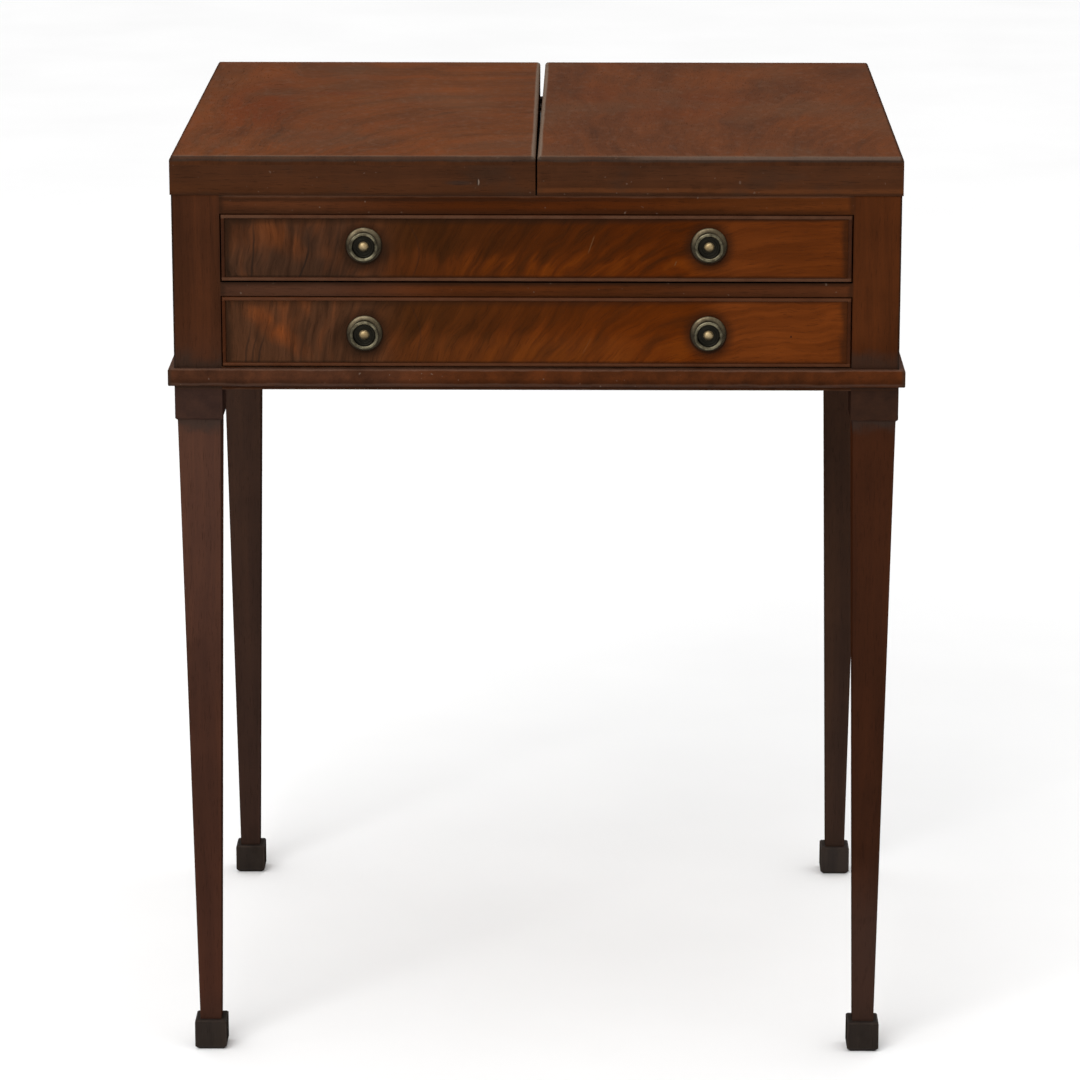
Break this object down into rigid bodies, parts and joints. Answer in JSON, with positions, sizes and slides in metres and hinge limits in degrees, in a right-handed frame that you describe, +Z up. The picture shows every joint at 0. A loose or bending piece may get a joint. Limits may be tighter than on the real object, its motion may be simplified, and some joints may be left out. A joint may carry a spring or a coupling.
{
  "type": "dressing table",
  "caption": "Small enclosed dressing table with a divided fold-out top, two cockbeaded drawers with round brass knobs, and square tapered legs on block feet.",
  "frame": {"origin": "on the floor under the middle of the table's bounding box, knobs included", "axes": "+Z up, the drawers face -Y, +X to the right of a person who faces the drawers' front"},
  "size_m": [0.6284, 0.5506, 0.802],
  "materials": {
    "mahogany": "waxed mahogany, dull sheen",
    "flame_mahogany": "flame-figured mahogany veneer, waxed",
    "oak_lining": "plain oak, unpolished",
    "dark_base_wood": "dark worn wood",
    "antique_brass": "dull antique brass",
    "mirror_plate": "silvered plate",
    "screw_iron": "dull iron"
  },
  "bodies": {
    "carcase": {"leg_front_left": "mahogany", "leg_front_right": "mahogany", "leg_rear_left": "mahogany", "leg_rear_right": "mahogany", "foot_front_left": "dark_base_wood", "foot_front_right": "dark_base_wood", "foot_rear_left": "dark_base_wood", "foot_rear_right": "dark_base_wood", "leg_collars": "mahogany", "side_panel_left": "mahogany", "side_panel_right": "mahogany", "back_panel": "mahogany", "bottom_rail": "mahogany", "mid_rail": "mahogany", "frieze_rail": "mahogany", "base_moulding": "mahogany", "lower_runner_left": "oak_lining", "lower_runner_right": "oak_lining", "upper_runner_left": "oak_lining", "upper_runner_right": "oak_lining", "drawer_stops": "oak_lining", "well_front_rail": "mahogany", "well_floor": "mahogany", "well_divider_left": "mahogany", "well_divider_right": "mahogany", "well_cross_dividers": "mahogany", "mirror_frame": "mahogany", "mirror_glass": "mirror_plate", "mirror_backboard": "oak_lining", "mirror_pivots": "antique_brass", "mirror_strut": "mahogany", "strut_bracket": "antique_brass", "mirror_ratchet": "mahogany", "case_hinge_leaves": "antique_brass", "hinge_pins": "screw_iron"},
    "left_lid": {"left_lid_board": "mahogany", "left_lid_frame": "mahogany", "left_lid_hinge_leaves": "antique_brass"},
    "right_lid": {"right_lid_board": "mahogany", "right_lid_frame": "mahogany", "right_lid_hinge_leaves": "antique_brass"},
    "upper_drawer": {"upper_drawer_front": "flame_mahogany", "upper_cockbead": "mahogany", "upper_drawer_side_left": "oak_lining", "upper_drawer_side_right": "oak_lining", "upper_drawer_back": "oak_lining", "upper_drawer_bottom": "oak_lining", "upper_drawer_knobs": "antique_brass", "upper_drawer_knob_plates": "antique_brass"},
    "lower_drawer": {"lower_drawer_front": "flame_mahogany", "lower_cockbead": "mahogany", "lower_drawer_side_left": "oak_lining", "lower_drawer_side_right": "oak_lining", "lower_drawer_back": "oak_lining", "lower_drawer_bottom": "oak_lining", "lower_drawer_knobs": "antique_brass", "lower_drawer_knob_plates": "antique_brass"}
  },
  "joints": [
    {"name": "left_lid_hinge", "type": "hinge", "parent": "carcase", "child": "left_lid", "pos_m": [-0.30965, 0.0048, 0.76915], "axis": [0, -1, 0], "range_deg": [0, 180]},
    {"name": "right_lid_hinge", "type": "hinge", "parent": "carcase", "child": "right_lid", "pos_m": [0.30965, 0.0048, 0.76915], "axis": [0, 1, 0], "range_deg": [0, 180]},
    {"name": "upper_drawer_slide", "type": "slide", "parent": "carcase", "child": "upper_drawer", "axis": [0, -1, 0], "range_m": [0, 0.38]},
    {"name": "lower_drawer_slide", "type": "slide", "parent": "carcase", "child": "lower_drawer", "axis": [0, -1, 0], "range_m": [0, 0.38]}
  ]
}
